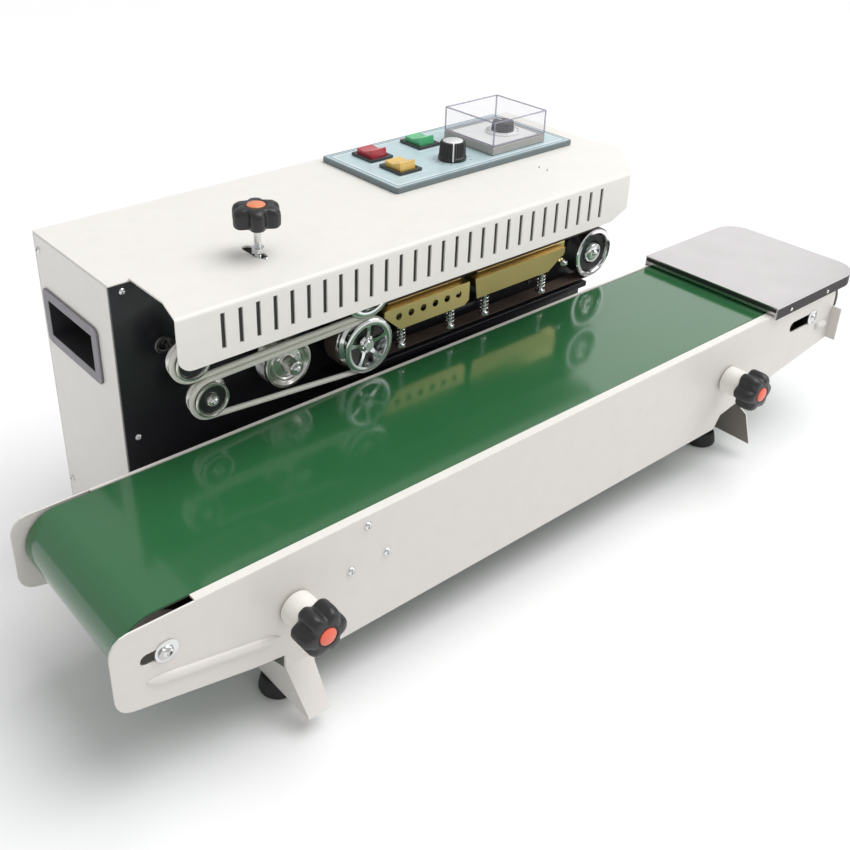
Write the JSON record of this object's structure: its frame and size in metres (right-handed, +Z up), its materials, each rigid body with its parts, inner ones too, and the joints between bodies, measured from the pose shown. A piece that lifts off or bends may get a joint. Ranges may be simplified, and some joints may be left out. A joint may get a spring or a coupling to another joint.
{
  "type": "continuous band sealer",
  "caption": "Tabletop continuous band sealer: a louvred housing with paired sealing bands on wheels, over a height-adjustable green belt conveyor with an infeed table.",
  "frame": {"origin": "centre of the bounding box on the surface the feet stand on", "axes": "+X along the conveyor from the outfeed to the infeed, +Y from the operator's side to the housing's back, +Z up"},
  "size_m": [0.842, 0.362, 0.3195],
  "materials": {
    "powder_coat_cream": "fine satin powder coat",
    "powder_coat_black": "satin powder coat",
    "belt_pvc": "glossy green PVC face",
    "steel_brushed": "brushed sheet",
    "chrome_plate": "bright plating",
    "brass_sheet": "golden, brushed",
    "aluminium_cast": "turned or cast",
    "foot_rubber": "matte",
    "plastic_black": "fine texture",
    "plastic_gloss_black": "gloss",
    "plastic_grey": "matte",
    "plastic_pale_grey": "matte",
    "panel_overlay": "pale blue printed overlay",
    "band_ptfe": "brown PTFE glass cloth",
    "guide_urethane": "cream urethane",
    "rocker_red": "translucent red",
    "rocker_yellow": "translucent yellow",
    "rocker_green": "translucent green",
    "acrylic_clear": "clear moulded acrylic"
  },
  "bodies": {
    "chassis": {"base_tray": "powder_coat_cream", "belt_guard": "powder_coat_cream", "control_panel": "panel_overlay", "cooling_block_lower": "brass_sheet", "cooling_block_upper": "brass_sheet", "cooling_cover": "brass_sheet", "foot_front_left": "foot_rubber", "foot_front_right": "foot_rubber", "foot_rear_left": "foot_rubber", "foot_rear_right": "foot_rubber", "gear_motor": "aluminium_cast", "guide_belt_lower": "guide_urethane", "guide_belt_upper": "guide_urethane", "handle_left": "plastic_grey", "handle_right": "plastic_grey", "heating_block_lower": "brass_sheet", "heating_block_upper": "brass_sheet", "heating_cover": "brass_sheet", "lower_ledge": "powder_coat_black", "power_inlet": "plastic_black", "rear_cover": "powder_coat_cream", "sealing_band_lower": "band_ptfe", "sealing_band_upper": "band_ptfe", "side_panel_left": "powder_coat_cream", "side_panel_right": "powder_coat_cream", "support_arm_left": "powder_coat_cream", "support_arm_right": "powder_coat_cream", "switch_bezel_conveyor": "plastic_gloss_black", "switch_bezel_fan": "plastic_gloss_black", "switch_bezel_heater": "plastic_gloss_black", "temperature_controller": "plastic_pale_grey", "top_cover": "powder_coat_cream", "wall_plate": "powder_coat_black"},
    "conveyor": {"conveyor_side_front": "powder_coat_cream", "conveyor_side_rear": "powder_coat_cream", "conveyor_bed": "steel_brushed", "conveyor_belt": "belt_pvc", "infeed_table": "steel_brushed"},
    "drive_roller": {"drive_roller": "steel_brushed"},
    "idler_roller": {"idler_roller": "steel_brushed"},
    "clamp_knob_left": {"clamp_knob_left": "plastic_black"},
    "clamp_knob_right": {"clamp_knob_right": "plastic_black"},
    "drive_wheel_lower": {"drive_wheel_lower": "chrome_plate", "timing_gear_lower": "steel_brushed"},
    "drive_wheel_upper": {"drive_wheel_upper": "chrome_plate", "timing_gear_upper": "steel_brushed"},
    "driven_wheel_lower": {"driven_wheel_lower": "chrome_plate"},
    "driven_wheel_upper": {"driven_wheel_upper": "chrome_plate"},
    "embossing_wheel_lower": {"embossing_wheel_lower": "aluminium_cast"},
    "embossing_wheel_upper": {"embossing_wheel_upper": "aluminium_cast"},
    "guide_pulley_lower": {"guide_pulley_lower": "chrome_plate"},
    "guide_pulley_upper": {"guide_pulley_upper": "chrome_plate"},
    "rocker_heater": {"rocker_heater": "rocker_red"},
    "rocker_fan": {"rocker_fan": "rocker_yellow"},
    "rocker_conveyor": {"rocker_conveyor": "rocker_green"},
    "speed_knob": {"speed_knob": "plastic_black"},
    "temperature_dial": {"temperature_dial": "plastic_black"},
    "meter_cover": {"meter_cover": "acrylic_clear"},
    "pressure_spindle": {"pressure_spindle": "chrome_plate"},
    "pressure_knob": {"pressure_knob": "plastic_black"}
  },
  "joints": [
    {"name": "conveyor_height", "type": "slide", "parent": "chassis", "child": "conveyor", "axis": [0, 0, 1], "range_m": [0, 0.02]},
    {"name": "drive_roller_spin", "type": "hinge", "parent": "conveyor", "child": "drive_roller", "pos_m": [-0.386, -0.0665, 0.1163], "axis": [0, 1, 0], "continuous": true},
    {"name": "idler_roller_spin", "type": "hinge", "parent": "conveyor", "child": "idler_roller", "pos_m": [0.386, -0.0665, 0.1163], "axis": [0, 1, 0], "continuous": true},
    {"name": "clamp_knob_left_turn", "type": "hinge", "parent": "conveyor", "child": "clamp_knob_left", "pos_m": [-0.285, -0.172, 0.098], "axis": [0, -1, 0], "range_deg": [0, 360]},
    {"name": "clamp_knob_right_turn", "type": "hinge", "parent": "conveyor", "child": "clamp_knob_right", "pos_m": [0.212, -0.172, 0.098], "axis": [0, -1, 0], "range_deg": [0, 360]},
    {"name": "drive_wheel_lower_spin", "type": "hinge", "parent": "chassis", "child": "drive_wheel_lower", "pos_m": [-0.099, 0.03, 0.17205], "axis": [0, 1, 0], "continuous": true},
    {"name": "drive_wheel_upper_spin", "type": "hinge", "parent": "chassis", "child": "drive_wheel_upper", "pos_m": [-0.099, 0.03, 0.22435], "axis": [0, 1, 0], "continuous": true},
    {"name": "driven_wheel_lower_spin", "type": "hinge", "parent": "chassis", "child": "driven_wheel_lower", "pos_m": [0.201, 0.03, 0.17205], "axis": [0, 1, 0], "continuous": true},
    {"name": "driven_wheel_upper_spin", "type": "hinge", "parent": "chassis", "child": "driven_wheel_upper", "pos_m": [0.201, 0.03, 0.22435], "axis": [0, 1, 0], "continuous": true},
    {"name": "embossing_wheel_lower_spin", "type": "hinge", "parent": "chassis", "child": "embossing_wheel_lower", "pos_m": [-0.173, 0.03, 0.17585], "axis": [0, 1, 0], "continuous": true},
    {"name": "embossing_wheel_upper_spin", "type": "hinge", "parent": "chassis", "child": "embossing_wheel_upper", "pos_m": [-0.173, 0.03, 0.22055], "axis": [0, 1, 0], "continuous": true},
    {"name": "guide_pulley_lower_spin", "type": "hinge", "parent": "chassis", "child": "guide_pulley_lower", "pos_m": [-0.252, 0.015, 0.17665], "axis": [0, 1, 0], "continuous": true},
    {"name": "guide_pulley_upper_spin", "type": "hinge", "parent": "chassis", "child": "guide_pulley_upper", "pos_m": [-0.266, 0.015, 0.21375], "axis": [0, 1, 0], "continuous": true},
    {"name": "rocker_heater_rock", "type": "hinge", "parent": "chassis", "child": "rocker_heater", "pos_m": [0.008, 0.14, 0.279], "axis": [1, 0, 0], "range_deg": [0, 16]},
    {"name": "rocker_fan_rock", "type": "hinge", "parent": "chassis", "child": "rocker_fan", "pos_m": [0.007, 0.098, 0.279], "axis": [1, 0, 0], "range_deg": [0, 16]},
    {"name": "rocker_conveyor_rock", "type": "hinge", "parent": "chassis", "child": "rocker_conveyor", "pos_m": [0.068, 0.141, 0.279], "axis": [1, 0, 0], "range_deg": [0, 16]},
    {"name": "speed_knob_turn", "type": "hinge", "parent": "chassis", "child": "speed_knob", "pos_m": [0.063, 0.09, 0.29], "axis": [0, 0, -1], "range_deg": [0, 270]},
    {"name": "temperature_dial_turn", "type": "hinge", "parent": "chassis", "child": "temperature_dial", "pos_m": [0.141, 0.103, 0.294], "axis": [0, 0, -1], "range_deg": [0, 300]},
    {"name": "meter_cover_open", "type": "hinge", "parent": "chassis", "child": "meter_cover", "pos_m": [0.133, 0.14, 0.2893], "axis": [-1, 0, 0], "range_deg": [0, 100]},
    {"name": "pressure_spindle_lift", "type": "slide", "parent": "chassis", "child": "pressure_spindle", "axis": [0, 0, 1], "range_m": [-0.0015, 0.0015]},
    {"name": "pressure_knob_turn", "type": "hinge", "parent": "pressure_spindle", "child": "pressure_knob", "pos_m": [-0.196, 0.025, 0.31], "axis": [0, 0, -1], "range_deg": [-360, 360]}
  ],
  "couplings": [
    {"joint": "drive_wheel_upper_spin", "follows": "drive_wheel_lower_spin", "ratio": -1},
    {"joint": "driven_wheel_lower_spin", "follows": "drive_wheel_lower_spin", "ratio": 1},
    {"joint": "driven_wheel_upper_spin", "follows": "drive_wheel_lower_spin", "ratio": -1},
    {"joint": "embossing_wheel_lower_spin", "follows": "drive_wheel_lower_spin", "ratio": 1.1712},
    {"joint": "embossing_wheel_upper_spin", "follows": "drive_wheel_lower_spin", "ratio": -1.1712},
    {"joint": "guide_pulley_lower_spin", "follows": "drive_wheel_lower_spin", "ratio": 1.475},
    {"joint": "guide_pulley_upper_spin", "follows": "drive_wheel_lower_spin", "ratio": -1.475},
    {"joint": "drive_roller_spin", "follows": "drive_wheel_lower_spin", "ratio": 0.95238},
    {"joint": "idler_roller_spin", "follows": "drive_wheel_lower_spin", "ratio": 0.95238},
    {"joint": "pressure_knob_turn", "follows": "pressure_spindle_lift", "rad_per_m": -4184}
  ]
}
